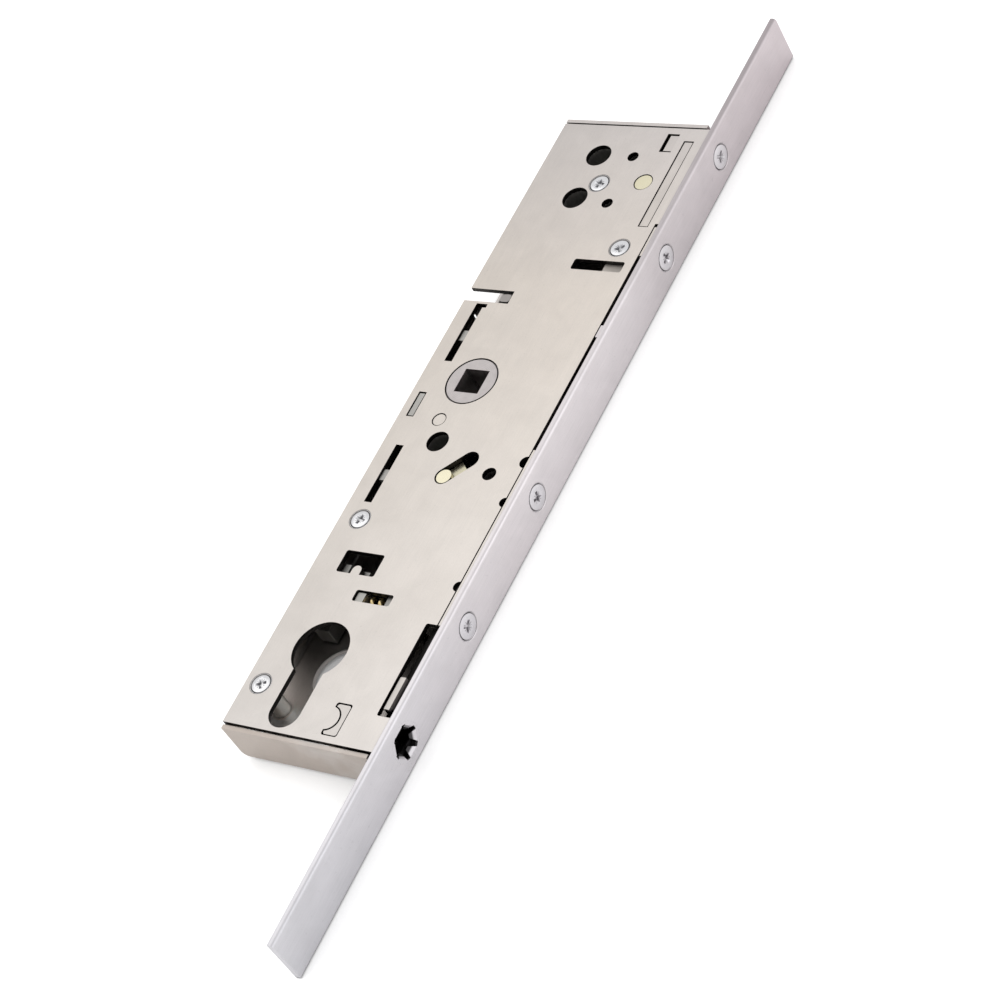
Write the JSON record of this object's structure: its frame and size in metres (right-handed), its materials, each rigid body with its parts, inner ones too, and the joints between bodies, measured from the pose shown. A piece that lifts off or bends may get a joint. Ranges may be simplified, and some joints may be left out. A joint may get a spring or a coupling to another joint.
{
  "type": "passive door lock gearbox with faceplate strip",
  "caption": "Steel gearbox of a passive-leaf espagnolette door lock on a length of its flat faceplate strip, with spindle follower, racks, drive rails and a key-operated slide.",
  "frame": {"origin": "on the spindle axis, in the middle plane of the faceplate", "axes": "+X up the door, -Y out of the door edge through the faceplate, +Z out of the cover plate"},
  "size_m": [0.317, 0.0529, 0.016],
  "materials": {
    "case_sheet": "zinc-plated sheet, fine satin",
    "strip": "zinc-plated strip, fine brushed",
    "inner_steel": "zinc-plated, satin",
    "rail": "zinc-plated, satin",
    "follower": "cast and zinc-plated, satin",
    "screw": "bright zinc-plated",
    "brass": "turned, satin",
    "spring": "drawn wire with a yellow plating"
  },
  "bodies": {
    "case": {"faceplate": "strip", "faceplate_screws": "screw", "star_retainer": "strip", "case_tray": "case_sheet", "case_cover": "case_sheet", "case_screws": "screw", "case_posts": "inner_steel", "front_bracket_upper": "inner_steel", "front_bracket_centre": "inner_steel", "front_bracket_lower": "inner_steel", "top_spacer": "inner_steel", "lower_spacer": "inner_steel", "rack_keeper": "inner_steel", "rack_guide": "inner_steel", "notch_post": "inner_steel", "rail_guides": "inner_steel", "handle_bolt_bush": "inner_steel", "locating_bush": "inner_steel", "upper_bolt_bushes": "inner_steel", "upper_pin_bushes": "inner_steel", "brass_rivet": "brass", "ring_rivet": "inner_steel", "slide_guides": "inner_steel", "spring_seat": "inner_steel", "drag_pad": "inner_steel", "drag_spring": "spring"},
    "spindle_drive": {"follower": "follower"},
    "upper_drive": {"front_rack": "inner_steel", "upper_drive_rail": "rail"},
    "lower_drive": {"back_rack": "inner_steel", "lower_drive_rail": "rail"},
    "key_drive": {"key_slide": "inner_steel"},
    "link": {"link_pin": "brass", "blocking_slide": "brass"}
  },
  "joints": [
    {"name": "follower_turn", "type": "hinge", "parent": "case", "child": "spindle_drive", "pos_m": [0, 0, 0], "axis": [0, 0, 1], "range_deg": [-45, 45]},
    {"name": "upper_drive_slide", "type": "slide", "parent": "case", "child": "upper_drive", "axis": [1, 0, 0], "range_m": [-0.00785, 0.00785]},
    {"name": "lower_drive_slide", "type": "slide", "parent": "case", "child": "lower_drive", "axis": [1, 0, 0], "range_m": [-0.00785, 0.00785]},
    {"name": "key_slide_lift", "type": "slide", "parent": "case", "child": "key_drive", "axis": [1, 0, 0], "range_m": [0, 0.00646]},
    {"name": "link_slide", "type": "slide", "parent": "case", "child": "link", "axis": [0.7604, -0.6494, 0], "range_m": [0, 0.0085]}
  ],
  "couplings": [
    {"joint": "follower_turn", "follows": "upper_drive_slide", "rad_per_m": 100},
    {"joint": "lower_drive_slide", "follows": "upper_drive_slide", "ratio": -1},
    {"joint": "link_slide", "follows": "key_slide_lift", "ratio": 1.3151}
  ]
}
